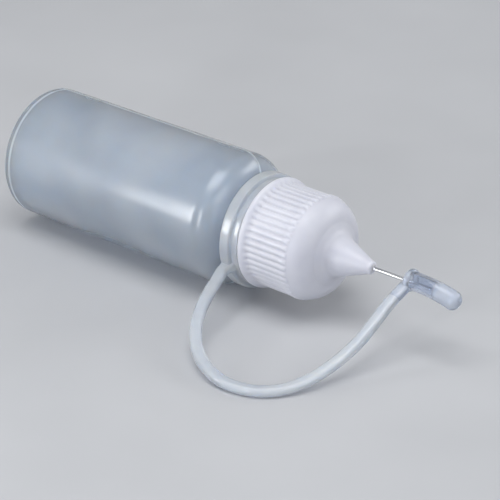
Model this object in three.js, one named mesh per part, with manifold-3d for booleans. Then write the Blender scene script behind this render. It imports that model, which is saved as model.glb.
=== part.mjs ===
import * as THREE from 'three';
import { mergeVertices } from 'three/addons/utils/BufferGeometryUtils.js';
import Module from 'manifold-3d';

const wasm = await Module();
wasm.setup();

// A glue applicator bottle that lies on its side, in millimetres, with +Z up.
// Its axis runs along +X from the base to the needle, and the tether's loop lies towards -Y.
// Stations are measured along the axis from the base, and the last lines centre the group on X.

// Driving dimensions
const roundSides = 48;
const fineSides = 16;
const gap = 0.3;
const smallEdge = 0.2;
const softEdge = 0.4;

const bottleRadius = 11;
const bottleWall = 0.8;
const baseCorner = 0.8;
const baseHollowDepth = 0.6;
const baseHollowRadius = 7;
const innerCorner = 1;
const shoulderStation = 41.7;
const shoulderRound = 4;
const neckRadius = 6.5;
const neckBoreRadius = 5.3;
const mouthStation = 58;

const threadPitch = 3;
const threadRidgeRadius = 0.75;
const neckThreadStart = 52.2;
const threadTurns = 1.5;

const skirtStation = 50.3;
const capRimRadius = 9.1;
const capRimLength = 0.7;
const capRimSlope = 0.8;
const capRibRadius = 8.6;
const capBodyRadius = 8.3;
const capBoreRadius = 7.6;
const capRibCount = 48;
const capRibEnd = 59.4;
const domeStation = 58.4;
const domeCentre = [58.7, 4.75];
const domeHalfAxes = [3.9, 3.65];
const coneFoot = [[63.2, 3.85], [64.1, 3.25], [65.4, 2.75]];
const plugRadius = 5;
const plugBoreRadius = 4.2;
const plugLength = 1.7;
const chamberEnd = 60.4;
const funnelMiddle = [61.6, 2.2];
const funnelEnd = 63.2;
const coneTipStation = 70;
const coneTipRadius = 0.95;

const needleRadius = 0.32;
const needleBoreRadius = 0.17;
const needleStart = 61.5;
const needleEnd = 82.2;
const needleHoleRadius = 0.6;

const ringDrop = 0.3;
const ringBoreRadius = 7.6;
const ringFlangeRadius = 9.5;
const ringHubRadius = 8.8;
const ringFlangeStation = 46.9;
const ringFlangeLength = 1.8;
const ringBackRadius = 8.3;

const strapRadius = 0.85;
const lugWidth = 2.2;
const lugThickness = 1.6;
const lugReach = 10.4;

const sheathStation = 77;
const sheathEnd = 86.5;
const sheathRadius = 1.5;
const sheathBeadRadius = 1.8;
const sheathBoreRadius = 1.05;
const sheathBoreEnd = 82.7;
const sheathBeadLength = 1;
const sheathLift = 0.35;
const sheathBendStation = 79;
const sheathDroop = 1.2;
const sheathLugReach = 3.5;

// The axis height puts the lowest flat of the many-sided bottle on the surface that it lies on.
const axisHeight = bottleRadius * Math.cos(Math.PI / roundSides);

// Where the strap leaves the ring and where it meets the sheath, as directions from the axis.
const ringLugDirection = new THREE.Vector3(0, -0.93, -0.37);
const sheathLugDirection = new THREE.Vector3(-0.19, -0.84, -0.51);

// The strap's centre line, from the ring's lug down to the surface and up to the sheath's lug:
// station along the axis, distance across it and height over the surface.
const strapRoute = [
  [48.0, -10.0, 7.0],
  [48.6, -11.9, 6.4],
  [49.6, -14.9, 5.6],
  [50.9, -18.1, 4.7],
  [52.7, -21.2, 3.8],
  [54.8, -23.8, 3.0],
  [57.4, -26.0, 2.2],
  [60.4, -27.6, 1.6],
  [63.9, -28.5, 1.1],
  [67.4, -28.2, 0.9],
  [70.5, -26.8, 0.85],
  [72.8, -24.2, 1.0],
  [74.3, -21.0, 1.5],
  [75.3, -17.6, 2.4],
  [76.0, -14.3, 3.6],
  [76.4, -11.0, 5.0],
  [76.5, -8.0, 6.6],
  [76.6, -5.3, 8.2],
  [76.75, -3.3, 9.3],
];

// Helpers

// A closed three.js mesh as a solid that can be joined and cut.
function toSolid(geometry) {
  const bare = geometry.clone();
  bare.deleteAttribute('normal');
  bare.deleteAttribute('uv');
  const merged = mergeVertices(bare, 1e-4);
  const index = merged.index.array;
  const triangles = [];
  for (let i = 0; i < index.length; i += 3) {
    const [a, b, c] = [index[i], index[i + 1], index[i + 2]];
    if (a !== b && b !== c && c !== a) triangles.push(a, b, c);
  }
  const mesh = new wasm.Mesh({
    numProp: 3,
    vertProperties: new Float32Array(merged.attributes.position.array),
    triVerts: new Uint32Array(triangles),
  });
  return new wasm.Manifold(mesh);
}

function toGeometry(solid) {
  const mesh = solid.getMesh();
  const geometry = new THREE.BufferGeometry();
  geometry.setAttribute('position', new THREE.BufferAttribute(mesh.vertProperties, 3));
  geometry.setIndex(new THREE.BufferAttribute(mesh.triVerts, 1));
  geometry.computeVertexNormals();
  return geometry;
}

// Turns an outline of [station, radius] pairs around the X axis.
function revolve(outline, sides = roundSides) {
  const points = outline.map(([station, radius]) => new THREE.Vector2(radius, station));
  const geometry = new THREE.LatheGeometry(points, sides, Math.PI / sides);
  return toSolid(geometry.rotateZ(-Math.PI / 2));
}

// Points on a stretch of an ellipse around [station, radius], with angles in degrees from +X.
function arc([station, radius], [halfLength, halfHeight], from, to, steps) {
  const points = [];
  for (let i = 0; i <= steps; i++) {
    const angle = THREE.MathUtils.degToRad(from + ((to - from) * i) / steps);
    points.push([station + halfLength * Math.cos(angle), radius + halfHeight * Math.sin(angle)]);
  }
  return points;
}

// A round tube along a curve, with an even number of sides.
function tube(path, radius, steps, sides) {
  const section = new THREE.Shape();
  section.absarc(0, 0, radius, 0, 2 * Math.PI);
  return new THREE.ExtrudeGeometry(section, {
    steps,
    curveSegments: sides / 2,
    bevelEnabled: false,
    extrudePath: path,
  });
}

// A right-handed helix around the X axis, as a screw thread's crest line.
class Helix extends THREE.Curve {
  constructor(radius, start) {
    super();
    this.radius = radius;
    this.start = start;
  }

  getPoint(t) {
    const angle = 2 * Math.PI * threadTurns * t;
    const station = this.start + threadPitch * threadTurns * t;
    return new THREE.Vector3(station, this.radius * Math.cos(angle), this.radius * Math.sin(angle));
  }
}

function threadRidge(radius, start) {
  const steps = 24 * threadTurns;
  return toSolid(tube(new Helix(radius, start), threadRidgeRadius, steps, 8));
}

// A moulded lug that points away from the axis at one station.
function lug(station, direction, from, to) {
  const outward = direction.clone().normalize();
  const sideways = new THREE.Vector3(1, 0, 0).cross(outward).normalize();
  const lengthwise = sideways.clone().cross(outward);
  const geometry = new THREE.BoxGeometry(lugWidth, lugThickness, to - from);
  const placing = new THREE.Matrix4().makeBasis(lengthwise, sideways, outward);
  const middle = outward.clone().multiplyScalar((from + to) / 2);
  placing.setPosition(middle.add(new THREE.Vector3(station, 0, 0)));
  return toSolid(geometry.applyMatrix4(placing));
}

// Adds a finished piece to the object under the name of its node.
const object = new THREE.Group();

function addPiece(name, geometry, material) {
  const mesh = new THREE.Mesh(geometry, material);
  mesh.name = name;
  object.add(mesh);
}

// Bottle: a blow-moulded shell with a hollow base, a round shoulder and a threaded neck.
function makeBottle() {
  const innerRadius = bottleRadius - bottleWall;
  const shoulderRadius = bottleRadius - shoulderRound;
  const shoulderEnd = shoulderStation + shoulderRound;
  const shoulderArc = [shoulderStation, shoulderRadius];
  const cornerArc = [baseCorner, bottleRadius - baseCorner];
  const innerBase = baseHollowDepth + bottleWall;
  const innerRound = shoulderRound - bottleWall;
  const shell = revolve([
    [baseHollowDepth, 0],
    [baseHollowDepth, baseHollowRadius - softEdge],
    [0, baseHollowRadius],
    ...arc(cornerArc, [baseCorner, baseCorner], 180, 90, 4),
    ...arc(shoulderArc, [shoulderRound, shoulderRound], 90, 0, 8),
    [shoulderEnd, neckRadius + softEdge],
    [shoulderEnd + softEdge, neckRadius],
    [mouthStation - softEdge, neckRadius],
    [mouthStation, neckRadius - softEdge],
    [mouthStation, neckBoreRadius],
    [shoulderEnd + softEdge, neckBoreRadius],
    ...arc(shoulderArc, [innerRound, innerRound], 10, 90, 7),
    [innerBase + innerCorner, innerRadius],
    [innerBase, innerRadius - innerCorner],
    [innerBase, 0],
  ]);
  return toGeometry(shell.add(threadRidge(neckRadius, neckThreadStart)));
}

const bottleMaterial = new THREE.MeshStandardMaterial({
  color: 0x8f9bb4,
  roughness: 0.35,
  metalness: 0,
  transparent: true,
  opacity: 0.5,
});
addPiece('bottle', makeBottle(), bottleMaterial);

// Cap: one moulding with a rim, a ribbed grip, a dome and a cone. Inside are the thread, the plug
// ring that seals the bottle's mouth, and the hole that holds the needle.
function capOutline() {
  const rimEnd = skirtStation + capRimLength;
  const ceiling = mouthStation + gap;
  const plugEnd = ceiling - plugLength;
  return [
    [skirtStation, capBoreRadius + softEdge],
    [skirtStation, capRimRadius - smallEdge],
    [skirtStation + smallEdge, capRimRadius],
    [rimEnd, capRimRadius],
    [rimEnd + capRimSlope, capBodyRadius],
    [domeStation, capBodyRadius],
    ...arc(domeCentre, domeHalfAxes, 80, 5, 8),
    ...coneFoot,
    [coneTipStation, coneTipRadius],
    [coneTipStation, needleHoleRadius],
    [funnelEnd, needleHoleRadius],
    funnelMiddle,
    [chamberEnd, plugBoreRadius],
    [plugEnd, plugBoreRadius],
    [plugEnd, plugRadius - smallEdge],
    [plugEnd + smallEdge, plugRadius],
    [ceiling, plugRadius],
    [ceiling, capBoreRadius],
    [skirtStation + softEdge, capBoreRadius],
    [skirtStation, capBoreRadius + softEdge],
  ];
}

// The grip's ribs are the teeth of one notched sleeve.
function capRibs() {
  const outline = new THREE.Shape();
  const pitch = (2 * Math.PI) / capRibCount;
  const corners = [
    [0, capBodyRadius],
    [0.25, capRibRadius],
    [0.6, capRibRadius],
    [0.85, capBodyRadius],
  ];
  for (let rib = 0; rib < capRibCount; rib++) {
    for (const [share, radius] of corners) {
      const angle = (rib + share) * pitch;
      const [x, y] = [radius * Math.cos(angle), radius * Math.sin(angle)];
      if (rib === 0 && share === 0) outline.moveTo(x, y);
      else outline.lineTo(x, y);
    }
  }
  const hollow = new THREE.Path().absarc(0, 0, capBodyRadius - softEdge, 0, 2 * Math.PI);
  outline.holes.push(hollow);
  const start = skirtStation + capRimLength + smallEdge;
  const depth = capRibEnd - start;
  const sleeve = new THREE.ExtrudeGeometry(outline, { depth, bevelEnabled: false, curveSegments: 32 });
  sleeve.rotateY(Math.PI / 2).translate(start, 0, 0);
  return toSolid(sleeve);
}

// The cap's thread runs half a pitch further out than the neck's, so the ridges never touch.
function makeCap() {
  const body = revolve(capOutline()).add(capRibs());
  return toGeometry(body.add(threadRidge(capBoreRadius, neckThreadStart + threadPitch / 2)));
}

const capMaterial = new THREE.MeshStandardMaterial({ color: 0xe4e6f0, roughness: 0.4, metalness: 0 });
addPiece('cap', makeCap(), capMaterial);

// Needle: a blunt steel tube from the cap's funnel to inside the sheath.
function makeNeedle() {
  const outline = [
    [needleStart, needleBoreRadius],
    [needleStart, needleRadius],
    [needleEnd, needleRadius],
    [needleEnd, needleBoreRadius],
    [needleStart, needleBoreRadius],
  ];
  return toGeometry(revolve(outline, fineSides));
}

const needleMaterial = new THREE.MeshStandardMaterial({ color: 0xc9ccd2, roughness: 0.2, metalness: 1 });
addPiece('needle', makeNeedle(), needleMaterial);

// Tether: one soft moulding of a ring around the neck, a strap and a sheath for the needle.
function softPlastic() {
  return new THREE.MeshStandardMaterial({ color: 0xaab2c8, roughness: 0.3, metalness: 0 });
}

function makeRing() {
  const flangeEnd = ringFlangeStation + ringFlangeLength;
  const back = shoulderStation + shoulderRound + gap;
  const front = skirtStation - gap;
  const band = revolve([
    [back, ringBoreRadius],
    [back, ringBackRadius],
    [ringFlangeStation, ringBackRadius],
    [ringFlangeStation, ringFlangeRadius - smallEdge],
    [ringFlangeStation + smallEdge, ringFlangeRadius],
    [flangeEnd - smallEdge, ringFlangeRadius],
    [flangeEnd, ringFlangeRadius - smallEdge],
    [flangeEnd, ringHubRadius],
    [front, ringHubRadius],
    [front, ringBoreRadius],
    [back, ringBoreRadius],
  ]);
  const [station] = strapRoute[0];
  const rootLug = lug(station, ringLugDirection, ringHubRadius - softEdge, lugReach);
  return toGeometry(band.add(rootLug).translate([0, 0, -ringDrop]));
}

addPiece('tether_ring', makeRing(), softPlastic());

// Strap: its ends keep a small gap to the lugs.
function makeStrap() {
  const points = strapRoute.map(([station, across, height]) => {
    return new THREE.Vector3(station, across, height - axisHeight);
  });
  return tube(new THREE.CatmullRomCurve3(points), strapRadius, 40, 8);
}

addPiece('tether_strap', makeStrap(), softPlastic());

// Sheath: a tube with a beaded mouth over the needle and a solid tail. It sits a little high on
// the needle and droops towards its end.
class SheathLine extends THREE.Curve {
  constructor(from, to) {
    super();
    this.from = from;
    this.to = to;
  }

  getPoint(t) {
    const station = this.from + (this.to - this.from) * t;
    const share = Math.max(station - sheathBendStation, 0) / (sheathEnd - sheathBendStation);
    return new THREE.Vector3(station, 0, sheathLift - sheathDroop * share * share);
  }
}

function makeSheath() {
  const beadMiddle = sheathStation + sheathBeadLength / 2;
  const beadHalfAxes = [sheathBeadLength / 2, sheathBeadRadius - sheathBoreRadius];
  const barrelLine = new SheathLine(beadMiddle, sheathEnd - sheathRadius);
  const boreLine = new SheathLine(sheathStation - sheathBeadLength, sheathBoreEnd);
  const barrel = toSolid(tube(barrelLine, sheathRadius, 12, fineSides));
  const bore = toSolid(tube(boreLine, sheathBoreRadius, 8, fineSides));
  const tip = barrelLine.getPoint(1);
  const tipOutline = arc([tip.x, 0], [sheathRadius, sheathRadius], 180, 0, 12);
  const roundTip = revolve(tipOutline, fineSides).translate([0, 0, tip.z]);
  const bead = revolve(
    [
      [sheathStation, 0],
      ...arc([beadMiddle, sheathBoreRadius], beadHalfAxes, 180, 0, 6),
      [sheathStation + sheathBeadLength, 0],
    ],
    fineSides,
  );
  const strapLug = lug(beadMiddle, sheathLugDirection, sheathBoreRadius + smallEdge, sheathLugReach);
  const mouth = bead.add(strapLug).translate([0, 0, sheathLift]);
  return toGeometry(barrel.add(roundTip).add(mouth).subtract(bore));
}

addPiece('needle_sheath', makeSheath(), softPlastic());

// The origin is under the middle of the stretch from the base to the needle's end.
object.position.set(-needleEnd / 2, 0, axisHeight);

export default object;
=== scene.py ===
"""A glue applicator bottle that lies on its side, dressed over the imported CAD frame.

Lengths are in metres. A station is a distance along the bottle's axis from its base, and an angle
goes around that axis from +Y towards +Z.
"""
import math

import bmesh
import bpy
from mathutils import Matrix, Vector


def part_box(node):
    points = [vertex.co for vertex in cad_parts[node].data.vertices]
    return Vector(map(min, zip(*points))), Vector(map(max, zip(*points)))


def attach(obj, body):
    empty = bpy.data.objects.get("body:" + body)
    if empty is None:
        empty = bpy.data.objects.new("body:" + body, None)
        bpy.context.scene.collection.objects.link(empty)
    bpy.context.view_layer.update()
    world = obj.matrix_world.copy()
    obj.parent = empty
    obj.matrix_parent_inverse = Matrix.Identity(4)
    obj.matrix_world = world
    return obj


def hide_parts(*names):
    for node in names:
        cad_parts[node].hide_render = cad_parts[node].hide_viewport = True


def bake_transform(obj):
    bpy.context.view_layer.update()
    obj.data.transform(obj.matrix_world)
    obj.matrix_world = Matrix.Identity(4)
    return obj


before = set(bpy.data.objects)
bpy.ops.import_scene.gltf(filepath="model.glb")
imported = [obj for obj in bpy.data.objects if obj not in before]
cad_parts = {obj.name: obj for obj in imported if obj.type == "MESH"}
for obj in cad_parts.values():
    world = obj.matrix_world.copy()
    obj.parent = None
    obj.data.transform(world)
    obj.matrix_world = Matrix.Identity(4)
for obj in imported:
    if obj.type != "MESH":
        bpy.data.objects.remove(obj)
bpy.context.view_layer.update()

# Where the bottle lies
bottle_low, bottle_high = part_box("bottle")
BASE_X = bottle_low.x
AXIS_Z = (bottle_low.z + bottle_high.z) / 2

# Meshes: a radius that counts as none, how close two points are one, and the sharpest smooth edge
TINY = 1e-6
WELD_DISTANCE = 1e-7
CREASE_ANGLE = math.radians(48)

# Bottle
BODY_RADIUS = AXIS_Z
WALL = 0.0008
BASE_CORNER = 0.0008
BASE_HOLLOW_DEPTH = 0.0006
BASE_HOLLOW_RADIUS = 0.007
BASE_HOLLOW_SLOPE = 0.0004
BASE_RING_STATION = 0.0014
SHOULDER_STATION = 0.0417
SHOULDER_ROUND = 0.004
NECK_RADIUS = 0.0065
NECK_BORE_RADIUS = 0.0053
MOUTH_STATION = 0.058
PARTING_ANGLE = math.radians(74)
PARTING_RIDGE = 0.00012
PARTING_RIDGE_SIDE = (math.radians(0.3), math.radians(1.4))
PARTING_RIDGE_START = 0.0012
PINCH_SEAM_FIELD = BASE_HOLLOW_RADIUS - 0.0005
PINCH_SEAM_HEIGHT = 0.0003
PINCH_SEAM_SIDE = (0.0001, 0.0005)
PINCH_SEAM_END = (0.0048, 0.0056)
WALL_WAVE = 0.00002
BODY_SIDES = 224

# Screw thread
THREAD_PITCH = 0.003
THREAD_HEIGHT = 0.0007
THREAD_HALF_WIDTH = 0.0008
THREAD_TURNS = 1.5
THREAD_RUNOUT_TURNS = 0.08
NECK_THREAD_START = 0.0522

# Cap
SKIRT_STATION = 0.0503
SKIRT_FACE_RADIUS = 0.0084
SKIRT_CHAMFER = 0.0004
CAP_RIM_RADIUS = 0.0091
CAP_RIM_LENGTH = 0.0007
CAP_RIM_SLOPE = 0.0008
CAP_BODY_RADIUS = 0.0083
CAP_BORE_RADIUS = 0.0076
CAP_MOUTH_GAP = 0.0003
DOME_STATION = 0.0584
DOME_CENTRE = (0.0587, 0.00475)
DOME_HALF_AXES = (0.0039, 0.00365)
RIB_COUNT = 48
RIB_HEIGHT = 0.0002
RIB_START = 0.0511
RIB_END = 0.0594
RIB_RUNOUT = 0.0007
RIB_STEP = 0.0001
PLUG_RADIUS = 0.005
PLUG_BORE_RADIUS = 0.0042
PLUG_LENGTH = 0.0017
CHAMBER_END = 0.0604
FUNNEL_BEND = (0.0616, 0.0022)
FUNNEL_END = 0.0632
CONE_TIP_STATION = 0.07
CONE_TIP_RADIUS = 0.00095
CONE_TIP_LIP = 0.0003
CONE_TIP_TEAR = (0.00012, 0.00008)

# Corners where the cap's dome runs into its cone: station, radius and rounding.
CONE_FOOT = [
    (0.0632, 0.00385, 0.0006),
    (0.0641, 0.00325, 0.0005),
    (0.0654, 0.00275, 0.0006),
]

# Needle
NEEDLE_RADIUS = 0.00032
NEEDLE_BORE_RADIUS = 0.00017
NEEDLE_FACE_RADIUS = 0.00026
NEEDLE_FIT = 0.00002
NEEDLE_SIDES = 40
NEEDLE_START = 0.0615
NEEDLE_END = 0.0822

# Tether
RING_DROP = 0.0003
RING_BORE_RADIUS = 0.0076
RING_FLANGE_RADIUS = 0.0095
RING_HUB_RADIUS = 0.0088
RING_BACK_RADIUS = 0.0083
RING_FACE_RADIUS = 0.0079
RING_SIDES = 192
RING_BACK = 0.046
RING_FLANGE_STATION = 0.0469
RING_FLANGE_LENGTH = 0.0018
RING_FRONT = 0.05
STRAP_WIDTH = 0.00195
STRAP_HEIGHT = 0.0015
STRAP_CORNER = 0.0006
STRAP_STEPS = 8
STRAP_LEAD = 0.0002
SHEATH_STATION = 0.077
SHEATH_END = 0.0865
SHEATH_RADIUS = 0.0015
SHEATH_END_ROUND = 0.0012
SHEATH_BEAD_RADIUS = 0.0018
SHEATH_BEAD_LENGTH = 0.001
SHEATH_BORE_RADIUS = 0.00105
SHEATH_BORE_END = 0.0827
SHEATH_LIFT = 0.00035
SHEATH_BEND_STATION = 0.079
SHEATH_DROOP = 0.0012
SHEATH_SIDES = 56
FOOT_DEPTH = 0.0002

# The strap's centre line, as in the CAD: station, distance across and height over the floor.
STRAP_ROUTE = [
    (0.0480, -0.0100, 0.0070),
    (0.0486, -0.0119, 0.0064),
    (0.0496, -0.0149, 0.0056),
    (0.0509, -0.0181, 0.0047),
    (0.0527, -0.0212, 0.0038),
    (0.0548, -0.0238, 0.0030),
    (0.0574, -0.0260, 0.0022),
    (0.0604, -0.0276, 0.0016),
    (0.0639, -0.0285, 0.0011),
    (0.0674, -0.0282, 0.0009),
    (0.0705, -0.0268, 0.00085),
    (0.0728, -0.0242, 0.0010),
    (0.0743, -0.0210, 0.0015),
    (0.0753, -0.0176, 0.0024),
    (0.0760, -0.0143, 0.0036),
    (0.0764, -0.0110, 0.0050),
    (0.0765, -0.0080, 0.0066),
    (0.0766, -0.0053, 0.0082),
    (0.07675, -0.0033, 0.0093),
]
RING_LUG_ANGLE = math.atan2(-0.37, -0.93)
RING_LUG_RADIUS = 0.0086
RING_LUG_BACK = 0.0001
RING_LUG_FLARE = (0.0012, 0.0005)


# ---------------------------------------------------------------- Camera and light

CAMERA_TARGET = Vector((0.00525, -0.00134, 0.00706))
CAMERA_AZIMUTH = math.radians(40.75)
CAMERA_ELEVATION = math.radians(25.82)
CAMERA_DISTANCE = 0.38
CAMERA_LENS = 171.3


def direction(azimuth, elevation):
    """A direction away from the object: azimuth 0 is -Y, and azimuth 90 degrees is +X."""
    level = math.cos(elevation)
    return Vector((math.sin(azimuth) * level, -math.cos(azimuth) * level, math.sin(elevation)))


def aimed(name, data, place, target):
    """An object at place whose -Z axis points to target."""
    thing = bpy.data.objects.new(name, data)
    bpy.context.scene.collection.objects.link(thing)
    thing.location = place
    thing.rotation_euler = (target - place).to_track_quat("-Z", "Y").to_euler()
    return thing


def make_camera():
    data = bpy.data.cameras.new("camera")
    data.lens = CAMERA_LENS
    data.sensor_width = 36
    place = CAMERA_TARGET + CAMERA_DISTANCE * direction(CAMERA_AZIMUTH, CAMERA_ELEVATION)
    bpy.context.scene.camera = aimed("camera", data, place, CAMERA_TARGET)


def make_softbox(name, azimuth, elevation, distance, size, power):
    data = bpy.data.lights.new(name, "AREA")
    data.shape = "RECTANGLE"
    data.size, data.size_y = size
    data.energy = power
    place = distance * direction(math.radians(azimuth), math.radians(elevation))
    aimed(name, data, place, Vector((0, 0, 0.01)))


def make_light():
    make_softbox("side_softbox", -34, 13, 0.32, (0.03, 0.12), 0.3)
    make_softbox("strip", 10, 13, 0.32, (0.03, 0.16), 0.22)
    make_softbox("front_softbox", 78, 30, 0.7, (0.4, 0.3), 0.7)
    make_softbox("top_softbox", 15, 78, 0.7, (0.55, 0.45), 2.8)
    make_softbox("back_softbox", 150, 28, 0.7, (0.5, 0.18), 1.2)
    world = bpy.data.worlds.new("studio")
    bpy.context.scene.world = world
    world.use_nodes = True
    background = world.node_tree.nodes["Background"]
    background.inputs["Color"].default_value = (0.86, 0.88, 0.92, 1)
    background.inputs["Strength"].default_value = 0.38
    bpy.context.scene.view_settings.view_transform = "Standard"


# ---------------------------------------------------------------- Mesh helpers


def smooth(low, high, value):
    """0 below low, 1 above high and a smooth rise between them."""
    share = min(max((value - low) / (high - low), 0), 1)
    return share * share * (3 - 2 * share)


def on_axis(station, radius, angle):
    return Vector((
        BASE_X + station,
        radius * math.cos(angle),
        AXIS_Z + radius * math.sin(angle),
    ))


def arc(centre, half_axes, start, end, steps):
    """Corners without rounding on a stretch of an ellipse, from start to end degrees."""
    corners = []
    for i in range(steps + 1):
        angle = math.radians(start + (end - start) * i / steps)
        station = centre[0] + half_axes[0] * math.cos(angle)
        radius = centre[1] + half_axes[1] * math.sin(angle)
        corners.append((station, radius, 0))
    return corners


def outline(corners, step):
    """Points along (station, radius, rounding) corners, no further apart than step."""
    bends = []
    for i, (station, radius, rounding) in enumerate(corners):
        corner = Vector((station, radius))
        if rounding == 0:
            bends.append(corner)
            continue
        back = (Vector(corners[i - 1][:2]) - corner).normalized()
        ahead = (Vector(corners[i + 1][:2]) - corner).normalized()
        for k in range(6):
            t = k / 5
            bends.append(corner + rounding * ((1 - t) ** 2 * back + t ** 2 * ahead))
    points = [bends[0]]
    for point in bends[1:]:
        start = points[-1]
        pieces = math.ceil((point - start).length / step)
        for k in range(1, pieces + 1):
            points.append(start.lerp(point, k / pieces))
    return points


def plain(station, radius, angle):
    """The relief of a surface that has none."""
    return station, radius


def turned(points, angles, relief=plain):
    """Rows of an outline turned around the axis. A point on the axis gives a row of one."""
    rows = []
    for station, radius in points:
        if radius < TINY:
            rows.append([on_axis(*relief(station, 0, 0), 0)])
            continue
        rows.append([on_axis(*relief(station, radius, angle), angle) for angle in angles])
    return rows


def around(count, extra=()):
    """Angles around the axis, evenly spread, with a few extra ones."""
    angles = {round(2 * math.pi * i / count, 6) for i in range(count)}
    angles.update(round(angle % (2 * math.pi), 6) for angle in extra)
    return sorted(angles)


def skin(name, rows, closed=False):
    """A mesh object over rows of points. The last row joins the first one if it is closed."""
    points = []
    starts = []
    for row in rows:
        starts.append(len(points))
        points.extend(row)
    pairs = [(i, i + 1) for i in range(len(rows) - 1)]
    if closed:
        pairs.append((len(rows) - 1, 0))
    faces = []
    for first, second in pairs:
        a, b = starts[first], starts[second]
        count = max(len(rows[first]), len(rows[second]))
        for i in range(count):
            j = (i + 1) % count
            if len(rows[first]) == 1:
                faces.append((a, b + i, b + j))
            elif len(rows[second]) == 1:
                faces.append((a + i, b, a + j))
            else:
                faces.append((a + i, b + i, b + j, a + j))
    mesh = bpy.data.meshes.new(name)
    mesh.from_pydata(points, [], faces)
    thing = bpy.data.objects.new(name, mesh)
    bpy.context.scene.collection.objects.link(thing)
    finish_mesh(thing)
    return thing


def finish_mesh(thing):
    """Outward faces, smooth shading and crisp corners."""
    work = bmesh.new()
    work.from_mesh(thing.data)
    bmesh.ops.remove_doubles(work, verts=work.verts, dist=WELD_DISTANCE)
    bmesh.ops.recalc_face_normals(work, faces=work.faces)
    work.to_mesh(thing.data)
    work.free()
    thing.data.shade_smooth()
    thing.data.set_sharp_from_angle(angle=CREASE_ANGLE)


def join(thing, other):
    """Makes other a part of thing, as one closed body."""
    union = thing.modifiers.new("union", "BOOLEAN")
    union.operation = "UNION"
    union.solver = "EXACT"
    union.object = other
    shape = thing.evaluated_get(bpy.context.evaluated_depsgraph_get())
    mesh = bpy.data.meshes.new_from_object(shape)
    thing.modifiers.clear()
    thing.data = mesh
    bpy.data.objects.remove(other)
    finish_mesh(thing)


def section(width, height, corner):
    """A rounded rectangle as (sideways, upwards) pairs."""
    pairs = []
    for quarter in range(4):
        x = (width / 2 - corner) * (1 if quarter in (0, 3) else -1)
        y = (height / 2 - corner) * (1 if quarter in (0, 1) else -1)
        for k in range(5):
            angle = math.pi / 2 * (quarter + k / 4)
            pairs.append((x + corner * math.cos(angle), y + corner * math.sin(angle)))
    return pairs


def swept(name, path, sizes, ends=True):
    """A bar along a path with a rounded rectangular section of one (width, height) per point."""
    rows = []
    for i, (point, (width, height)) in enumerate(zip(path, sizes)):
        ahead = path[min(i + 1, len(path) - 1)] - path[max(i - 1, 0)]
        side = ahead.cross(Vector((0, 0, 1))).normalized()
        up = side.cross(ahead).normalized()
        pairs = section(width, height, STRAP_CORNER)
        rows.append([point + x * side + y * up for x, y in pairs])
    if ends:
        rows = [[path[0]], *rows, [path[-1]]]
    return skin(name, rows)


def open_end(thing, middle):
    """Takes a flat end off around its middle, where the moulding goes on in the next piece."""
    work = bmesh.new()
    work.from_mesh(thing.data)
    nearest = min(work.verts, key=lambda vert: (vert.co - middle).length)
    bmesh.ops.delete(work, geom=[nearest], context="VERTS")
    work.to_mesh(thing.data)
    work.free()


def spline(points, steps):
    """A smooth line through points, with steps stretches between two of them."""
    line = []
    for i in range(len(points) - 1):
        before = points[max(i - 1, 0)]
        start = points[i]
        end = points[i + 1]
        after = points[min(i + 2, len(points) - 1)]
        for k in range(steps):
            t = k / steps
            bend = (2 * before - 5 * start + 4 * end - after) * t ** 2
            bend += (3 * start - before - 3 * end + after) * t ** 3
            line.append(start + 0.5 * ((end - before) * t + bend))
    line.append(points[-1])
    return line


def thread_ridge(station, angle, start):
    """How far the thread stands proud there, from 0 to 1. It runs out at both ends."""
    height = 0
    for turn in range(math.ceil(THREAD_TURNS)):
        turns = angle / (2 * math.pi) + turn
        away = abs(station - start - THREAD_PITCH * turns)
        if turns > THREAD_TURNS or away > THREAD_HALF_WIDTH:
            continue
        crest = math.cos(math.pi / 2 * away / THREAD_HALF_WIDTH) ** 0.8
        runout = smooth(0, THREAD_RUNOUT_TURNS, turns)
        runout *= 1 - smooth(THREAD_TURNS - THREAD_RUNOUT_TURNS, THREAD_TURNS, turns)
        height = max(height, crest * runout)
    return height


# ---------------------------------------------------------------- Material helpers


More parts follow.
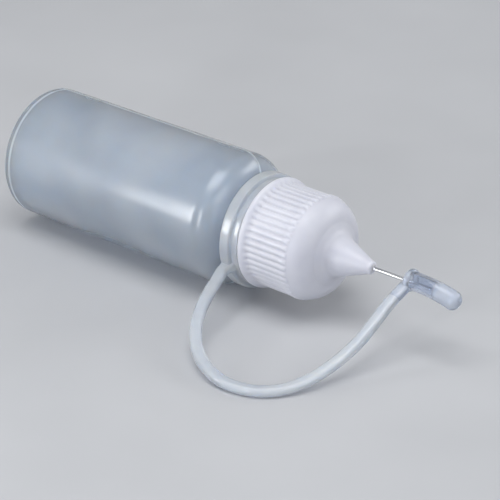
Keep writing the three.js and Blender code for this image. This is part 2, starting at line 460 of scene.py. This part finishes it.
class Surface:
    """A material with one Principled shader and short ways to add nodes to it."""

    def __init__(self, name):
        self.material = bpy.data.materials.new(name)
        self.material.use_nodes = True
        self.tree = self.material.node_tree
        self.shader = self.tree.nodes["Principled BSDF"]
        self.place = self.node("ShaderNodeTexCoord").outputs["Object"]
        self.last_bump = None

    def node(self, kind, **values):
        node = self.tree.nodes.new(kind)
        for key, value in values.items():
            if key in node.inputs:
                node.inputs[key].default_value = value
            else:
                setattr(node, key, value)
        return node

    def link(self, source, target):
        self.tree.links.new(source, target)

    def set(self, **values):
        """Sets the shader's own sockets. A name's underscores are spaces."""
        for key, value in values.items():
            self.shader.inputs[key.replace("_", " ")].default_value = value

    def stretched(self, scale):
        mapping = self.node("ShaderNodeMapping", Scale=scale)
        self.link(self.place, mapping.inputs["Vector"])
        return mapping.outputs["Vector"]

    def noise(self, scale, detail=2.0, place=None):
        noise = self.node("ShaderNodeTexNoise", Scale=scale, Detail=detail)
        self.link(place or self.place, noise.inputs["Vector"])
        return noise.outputs["Fac"]

    def along(self, axis, start, end):
        """0 at start on an axis, 1 at end and a smooth rise between them."""
        split = self.node("ShaderNodeSeparateXYZ")
        self.link(self.place, split.inputs["Vector"])
        ranged = self.node("ShaderNodeMapRange", interpolation_type="SMOOTHSTEP")
        ranged.inputs["From Min"].default_value = start
        ranged.inputs["From Max"].default_value = end
        self.link(split.outputs[axis], ranged.inputs["Value"])
        return ranged.outputs["Result"]

    def near(self, point, normal, start, end):
        """1 within the distance start of a plane, 0 beyond the distance end."""
        offset = self.node("ShaderNodeVectorMath", operation="SUBTRACT")
        self.link(self.place, offset.inputs[0])
        offset.inputs[1].default_value = point
        away = self.node("ShaderNodeVectorMath", operation="DOT_PRODUCT")
        self.link(offset.outputs["Vector"], away.inputs[0])
        away.inputs[1].default_value = normal
        distance = self.node("ShaderNodeMath", operation="ABSOLUTE")
        self.link(away.outputs["Value"], distance.inputs[0])
        return self.spread(distance.outputs["Value"], 1, 0, start, end)

    def combined(self, operation, first, *others):
        """Values put together with MAXIMUM or MULTIPLY."""
        for other in others:
            math_node = self.node("ShaderNodeMath", operation=operation)
            self.link(first, math_node.inputs[0])
            self.link(other, math_node.inputs[1])
            first = math_node.outputs["Value"]
        return first

    def spread(self, source, low, high, start=0.3, end=0.7):
        """Turns a value between start and end into one between low and high."""
        ranged = self.node("ShaderNodeMapRange")
        ranged.inputs["From Min"].default_value = start
        ranged.inputs["From Max"].default_value = end
        ranged.inputs["To Min"].default_value = low
        ranged.inputs["To Max"].default_value = high
        self.link(source, ranged.inputs["Value"])
        return ranged.outputs["Result"]

    def tint(self, source, dark, light):
        """Turns a value between 0.3 and 0.7 into a colour between two."""
        ramp = self.node("ShaderNodeValToRGB")
        ramp.color_ramp.elements[0].position = 0.3
        ramp.color_ramp.elements[0].color = (*dark, 1)
        ramp.color_ramp.elements[1].position = 0.7
        ramp.color_ramp.elements[1].color = (*light, 1)
        self.link(source, ramp.inputs["Fac"])
        return ramp.outputs["Color"]

    def bump(self, height, strength, distance):
        """Adds relief on top of the relief that is there already."""
        bump = self.node("ShaderNodeBump", Strength=strength, Distance=distance)
        self.link(height, bump.inputs["Height"])
        if self.last_bump:
            self.link(self.last_bump, bump.inputs["Normal"])
        self.last_bump = bump.outputs["Normal"]
        self.link(self.last_bump, self.shader.inputs["Normal"])

    def feed(self, **sources):
        """Links values to the shader's sockets. A name's underscores are spaces."""
        for key, source in sources.items():
            self.link(source, self.shader.inputs[key.replace("_", " ")])


def dress(thing, material):
    thing.data.materials.clear()
    thing.data.materials.append(material)


# ---------------------------------------------------------------- Materials


def bottle_plastic():
    """Thin milky polyethylene, blown in a mould: cloudy, faintly wavy and finely grained."""
    look = Surface("bottle_plastic")
    look.set(IOR=1.5, Subsurface_Weight=1.0, Subsurface_Scale=0.0012)
    look.set(Subsurface_Radius=(0.8, 0.9, 1.0))
    clouds = look.noise(70, 1.5)
    look.feed(Base_Color=look.tint(clouds, (0.78, 0.85, 0.95), (0.83, 0.88, 0.96)))
    across_seam = (0, math.sin(PARTING_ANGLE), -math.cos(PARTING_ANGLE))
    seam = look.near((0, 0, AXIS_Z), across_seam, 0.00008, 0.0003)
    edge = look.near((BASE_X, 0, 0), (1, 0, 0), 0.0002, 0.0005)
    base_ring = look.near((BASE_X + BASE_RING_STATION, 0, 0), (1, 0, 0), 0.00005, 0.00035)
    thick = look.spread(look.combined("MAXIMUM", seam, edge, base_ring), 1, 0.6, 0, 1)
    clear = look.spread(clouds, 0.865, 0.8)
    look.feed(Transmission_Weight=look.combined("MULTIPLY", clear, thick))
    look.feed(Roughness=look.spread(look.noise(120), 0.17, 0.24))
    look.bump(look.noise(60, 1.0), 0.12, 0.0004)
    look.bump(look.noise(2600, 2.0), 0.05, 0.00002)
    return look.material


def cap_plastic():
    """White moulded plastic that lets a little light in, with a fine satin grain."""
    look = Surface("cap_plastic")
    look.set(IOR=1.5, Subsurface_Weight=1.0, Subsurface_Scale=0.0012)
    look.set(Subsurface_Radius=(0.9, 0.95, 1.0))
    look.feed(Base_Color=look.tint(look.noise(220, 3.0), (0.60, 0.61, 0.68), (0.65, 0.66, 0.72)))
    look.feed(Roughness=look.spread(look.noise(900), 0.34, 0.48))
    look.bump(look.noise(3200, 2.0), 0.18, 0.00004)
    return look.material


def tether_plastic():
    """Soft milky polyethylene, clearer than the cap, with a faint fine grain."""
    look = Surface("tether_plastic")
    look.set(IOR=1.5, Subsurface_Weight=1.0, Subsurface_Scale=0.0012)
    look.set(Subsurface_Radius=(0.85, 0.92, 1.0))
    clouds = look.noise(160, 2.0)
    look.feed(Base_Color=look.tint(clouds, (0.80, 0.85, 0.95), (0.85, 0.89, 0.97)))
    look.feed(Transmission_Weight=look.spread(clouds, 0.64, 0.56))
    look.feed(Roughness=look.spread(look.noise(300), 0.18, 0.24))
    look.bump(look.noise(1800, 2.0), 0.05, 0.00002)
    return look.material


def sheath_plastic():
    """The tether's plastic again: clear where the wall is thin, cloudy in the solid tail."""
    look = Surface("sheath_plastic")
    look.set(IOR=1.5, Subsurface_Weight=1.0, Subsurface_Scale=0.001)
    look.set(Subsurface_Radius=(0.85, 0.92, 1.0))
    clouds = look.noise(420, 3.0)
    look.feed(Base_Color=look.tint(clouds, (0.72, 0.78, 0.91), (0.79, 0.84, 0.93)))
    tail_start = BASE_X + SHEATH_BORE_END
    tail = look.along("X", tail_start - 0.0008, tail_start + 0.0004)
    foot = look.along("Y", -SHEATH_RADIUS + 0.0003, -SHEATH_RADIUS - 0.0005)
    bead_end = BASE_X + SHEATH_STATION + SHEATH_BEAD_LENGTH
    bead = look.spread(look.along("X", bead_end + 0.0003, bead_end - 0.0003), 0, 0.6, 0, 1)
    solid = look.combined("MAXIMUM", tail, foot, bead)
    look.feed(Transmission_Weight=look.spread(solid, 0.97, 0.7, 0, 1))
    look.feed(Roughness=look.spread(solid, 0.06, 0.21, 0, 1))
    look.bump(look.noise(1800, 2.0), 0.12, 0.00005)
    return look.material


def needle_steel():
    """Drawn stainless steel tube, bright, with fine lines along it."""
    look = Surface("needle_steel")
    look.set(Metallic=1.0)
    lines = look.noise(1, 3.0, look.stretched((300, 9000, 9000)))
    look.feed(Base_Color=look.tint(lines, (0.66, 0.67, 0.70), (0.82, 0.83, 0.85)))
    look.feed(Roughness=look.spread(lines, 0.14, 0.3))
    look.bump(lines, 0.2, 0.00001)
    return look.material


def floor_paint():
    look = Surface("floor_paint")
    look.feed(Base_Color=look.tint(look.noise(30, 3.0), (0.50, 0.51, 0.53), (0.53, 0.54, 0.56)))
    look.feed(Roughness=look.spread(look.noise(60), 0.42, 0.5))
    return look.material


# ---------------------------------------------------------------- Pieces


def make_floor():
    size = 3
    mesh = bpy.data.meshes.new("floor")
    corners = [(-size, -size, 0), (size, -size, 0), (size, size, 0), (-size, size, 0)]
    mesh.from_pydata(corners, [], [(0, 1, 2, 3)])
    floor = bpy.data.objects.new("floor", mesh)
    bpy.context.scene.collection.objects.link(floor)
    mesh.materials.append(floor_paint())


def bottle_relief(station, radius, angle):
    """The parting line, the neck's thread and the pinched seam across the base."""
    if station < BASE_HOLLOW_DEPTH + TINY and radius < PINCH_SEAM_FIELD:
        away = abs(radius * math.sin(angle - PARTING_ANGLE))
        seam = (1 - smooth(*PINCH_SEAM_SIDE, away)) * (1 - smooth(*PINCH_SEAM_END, radius))
        return station - PINCH_SEAM_HEIGHT * seam, radius
    half_turn = math.pi
    away = abs((angle - PARTING_ANGLE + half_turn / 2) % half_turn - half_turn / 2)
    ridge = PARTING_RIDGE * (1 - smooth(*PARTING_RIDGE_SIDE, away))
    ridge *= smooth(0, PARTING_RIDGE_START, station)
    if station > NECK_THREAD_START - THREAD_PITCH:
        ridge += THREAD_HEIGHT * thread_ridge(station, angle, NECK_THREAD_START)
    wave = WALL_WAVE * math.sin(3 * angle + 140 * station) * math.sin(260 * station + angle)
    return station, radius + ridge + wave - WALL_WAVE


def make_bottle():
    shoulder_centre = (SHOULDER_STATION, BODY_RADIUS - SHOULDER_ROUND)
    shoulder_end = SHOULDER_STATION + SHOULDER_ROUND
    corner_centre = (BASE_CORNER, BODY_RADIUS - BASE_CORNER)
    inner_base = BASE_HOLLOW_DEPTH + WALL
    inner_round = SHOULDER_ROUND - WALL
    outside = outline([
        (BASE_HOLLOW_DEPTH, 0, 0),
        (BASE_HOLLOW_DEPTH, BASE_HOLLOW_RADIUS - BASE_HOLLOW_SLOPE, 0.0003),
        (0, BASE_HOLLOW_RADIUS, 0.0003),
        *arc(corner_centre, (BASE_CORNER, BASE_CORNER), 180, 90, 8),
        *arc(shoulder_centre, (SHOULDER_ROUND, SHOULDER_ROUND), 90, 0, 24),
        (shoulder_end, NECK_RADIUS, 0.0004),
        (MOUTH_STATION, NECK_RADIUS, 0.0003),
        (MOUTH_STATION, NECK_BORE_RADIUS, 0),
    ], step=0.00035)
    inside = outline([
        (MOUTH_STATION, NECK_BORE_RADIUS, 0),
        (shoulder_end + 0.0004, NECK_BORE_RADIUS, 0.0004),
        *arc(shoulder_centre, (inner_round, inner_round), 8, 90, 18),
        (inner_base, BODY_RADIUS - WALL, 0.0012),
        (inner_base, 0, 0),
    ], step=0.0008)
    degrees_off = [-1.4, -0.8, -0.3, 0, 0.3, 0.8, 1.4]
    seams = [PARTING_ANGLE + math.radians(degrees) for degrees in degrees_off]
    angles = around(BODY_SIDES, seams + [angle + math.pi for angle in seams])
    rows = turned(outside, angles, bottle_relief) + turned(inside[1:], angles)
    return skin("bottle_shell", rows)


def rib(angle):
    """A rib's height over its share of the turn, from 0 to 1."""
    share = (angle / (2 * math.pi) * RIB_COUNT) % 1
    return smooth(0, 0.26, share) * (1 - smooth(0.6, 0.86, share))


def ragged(angle):
    """An uneven edge, from 0 to 1, the same each time."""
    wave = math.sin(3 * angle + 1) + math.sin(5 * angle + 2.2) + 0.7 * math.sin(11 * angle)
    return 0.5 + wave / 5.4


def cap_relief(station, radius, angle):
    """The grip's ribs, the thread inside and the torn edge at the cone's tip."""
    on_grip = radius > CAP_BODY_RADIUS - 0.0001
    on_bore = abs(radius - CAP_BORE_RADIUS) < 0.00001
    on_tip = radius > CONE_TIP_RADIUS - 0.0002
    if on_grip and RIB_START < station < RIB_END + RIB_STEP:
        start = smooth(RIB_START, RIB_START + RIB_RUNOUT, station)
        end = 1 - smooth(RIB_END - RIB_STEP, RIB_END + RIB_STEP, station)
        return station, radius + RIB_HEIGHT * rib(angle) * start * end
    if on_bore and station < MOUTH_STATION:
        start = NECK_THREAD_START + THREAD_PITCH / 2
        return station, radius - THREAD_HEIGHT * thread_ridge(station, angle, start)
    if on_tip and station > CONE_TIP_STATION - CONE_TIP_LIP:
        lengthwise, outwards = CONE_TIP_TEAR
        return station + lengthwise * ragged(angle), radius + outwards * ragged(angle + 2)
    return station, radius


def make_cap():
    rim_end = SKIRT_STATION + CAP_RIM_LENGTH
    ceiling = MOUTH_STATION + CAP_MOUTH_GAP
    plug_end = ceiling - PLUG_LENGTH
    hole = NEEDLE_RADIUS + NEEDLE_FIT
    points = outline([
        (SKIRT_STATION, SKIRT_FACE_RADIUS, 0),
        (SKIRT_STATION, CAP_RIM_RADIUS, 0.00025),
        (rim_end, CAP_RIM_RADIUS, 0.0003),
        (rim_end + CAP_RIM_SLOPE, CAP_BODY_RADIUS, 0.0004),
        (DOME_STATION - 0.0002, CAP_BODY_RADIUS, 0),
        *arc(DOME_CENTRE, DOME_HALF_AXES, 92, 8, 28),
        *CONE_FOOT,
        (CONE_TIP_STATION, CONE_TIP_RADIUS, 0.0001),
        (CONE_TIP_STATION + CONE_TIP_LIP, hole, 0),
        (FUNNEL_END, hole, 0),
        (*FUNNEL_BEND, 0),
        (CHAMBER_END, PLUG_BORE_RADIUS, 0.0002),
        (plug_end, PLUG_BORE_RADIUS, 0.0001),
        (plug_end, PLUG_RADIUS, 0.0002),
        (ceiling, PLUG_RADIUS, 0.0002),
        (ceiling, CAP_BORE_RADIUS, 0.0002),
        (SKIRT_STATION + SKIRT_CHAMFER, CAP_BORE_RADIUS, 0),
        (SKIRT_STATION, CAP_BORE_RADIUS + SKIRT_CHAMFER, 0),
        (SKIRT_STATION, SKIRT_FACE_RADIUS, 0),
    ], step=0.00022)
    rows = turned(points[:-1], around(RIB_COUNT * 8), cap_relief)
    return skin("cap_shell", rows, closed=True)


def make_needle():
    edge = 0.00006
    points = outline([
        (NEEDLE_START, NEEDLE_FACE_RADIUS, 0),
        (NEEDLE_START, NEEDLE_RADIUS, edge),
        (NEEDLE_END, NEEDLE_RADIUS, edge),
        (NEEDLE_END, NEEDLE_BORE_RADIUS, edge),
        (NEEDLE_START, NEEDLE_BORE_RADIUS, edge),
        (NEEDLE_START, NEEDLE_FACE_RADIUS, 0),
    ], step=0.0006)
    return skin("needle_tube", turned(points[:-1], around(NEEDLE_SIDES)), closed=True)


def strap_line():
    """The smooth line through the strap's route."""
    return spline([Vector((BASE_X + x, y, z)) for x, y, z in STRAP_ROUTE], STRAP_STEPS)


def make_ring():
    flange_end = RING_FLANGE_STATION + RING_FLANGE_LENGTH
    points = outline([
        (RING_BACK, RING_FACE_RADIUS, 0),
        (RING_BACK, RING_BACK_RADIUS, 0.0002),
        (RING_FLANGE_STATION, RING_BACK_RADIUS, 0.0001),
        (RING_FLANGE_STATION, RING_FLANGE_RADIUS, 0.00025),
        (flange_end, RING_FLANGE_RADIUS, 0.0002),
        (flange_end + 0.0001, RING_HUB_RADIUS, 0.0001),
        (RING_FRONT, RING_HUB_RADIUS, 0.0002),
        (RING_FRONT, RING_BORE_RADIUS, 0.0002),
        (RING_BACK, RING_BORE_RADIUS, 0.0002),
        (RING_BACK, RING_FACE_RADIUS, 0),
    ], step=0.0004)
    drop = Vector((0, 0, RING_DROP))
    rows = [[point - drop for point in row] for row in turned(points[:-1], around(RING_SIDES))]
    ring = skin("tether_collar", rows, closed=True)
    start, second = strap_line()[:2]
    root = on_axis(STRAP_ROUTE[0][0] - RING_LUG_BACK, RING_LUG_RADIUS, RING_LUG_ANGLE) - drop
    path = spline([root, root.lerp(start, 0.45), start], 6)
    path[-2] = path[-1] - STRAP_LEAD * (second - start).normalized()
    wider, higher = RING_LUG_FLARE
    sizes = []
    for i in range(len(path)):
        flare = (1 - i / (len(path) - 1)) ** 2
        sizes.append((STRAP_WIDTH + wider * flare, STRAP_HEIGHT + higher * flare))
    join(ring, swept("strap_root", path, sizes))
    open_end(ring, start)
    return ring


def make_strap():
    path = strap_line()
    return swept("strap_bar", path, [(STRAP_WIDTH, STRAP_HEIGHT)] * len(path), ends=False)


def sheath_bend(station, radius, angle):
    """A point of the sheath, which sits a little high on the needle and droops to its end."""
    bend_length = SHEATH_END - SHEATH_BEND_STATION
    share = max(station - SHEATH_BEND_STATION, 0) / bend_length
    slope = 2 * SHEATH_DROOP * share / bend_length
    point = on_axis(station, radius, angle)
    point.z += SHEATH_LIFT - SHEATH_DROOP * share ** 2
    point.x += slope * radius * math.sin(angle)
    return point


def make_sheath():
    bead_middle = SHEATH_STATION + SHEATH_BEAD_LENGTH / 2
    bead_centre = (bead_middle, SHEATH_RADIUS)
    bead_half_axes = (SHEATH_BEAD_LENGTH / 2, SHEATH_BEAD_RADIUS - SHEATH_RADIUS)
    end_centre = (SHEATH_END - SHEATH_END_ROUND, SHEATH_RADIUS - SHEATH_END_ROUND)
    points = outline([
        (SHEATH_BORE_END, 0, 0),
        (SHEATH_BORE_END, SHEATH_BORE_RADIUS, 0.0004),
        (SHEATH_STATION, SHEATH_BORE_RADIUS, 0.00015),
        *arc(bead_centre, bead_half_axes, 180, 0, 12),
        *arc(end_centre, (SHEATH_END_ROUND, SHEATH_END_ROUND), 90, 0, 12),
        (SHEATH_END, 0, 0),
    ], step=0.0002)
    rows = []
    for station, radius in points:
        angles = around(SHEATH_SIDES) if radius > TINY else [0]
        rows.append([sheath_bend(station, radius, angle) for angle in angles])
    sheath = skin("needle_cover", rows)
    last, end = strap_line()[-2:]
    middle = sheath_bend(bead_middle, 0, 0)
    root = middle + (SHEATH_BORE_RADIUS + FOOT_DEPTH) * (end - middle).normalized()
    path = spline([end, end.lerp(root, 0.5), root], 6)
    path[1] = path[0] + STRAP_LEAD * (end - last).normalized()
    join(sheath, swept("strap_foot", path, [(STRAP_WIDTH, STRAP_HEIGHT)] * len(path)))
    open_end(sheath, end)
    return sheath


# ---------------------------------------------------------------- The scene

make_camera()
strap = make_strap()
sheath = make_sheath()
route = strap_line()
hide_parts("tether_strap")
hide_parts("needle_sheath")
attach(sheath, "sheath")
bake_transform(strap)
dress(strap, tether_plastic())
dress(sheath, sheath_plastic())

ring = make_ring()
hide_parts("tether_ring")
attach(ring, "tether")
dress(ring, strap.data.materials[0])

bottle = make_bottle()
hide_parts("bottle")
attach(bottle, "bottle")
dress(bottle, bottle_plastic())

cap = make_cap()
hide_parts("cap")
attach(cap, "cap")
dress(cap, cap_plastic())

needle = make_needle()
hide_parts("needle")
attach(needle, "needle")
dress(needle, needle_steel())

make_floor()
make_light()
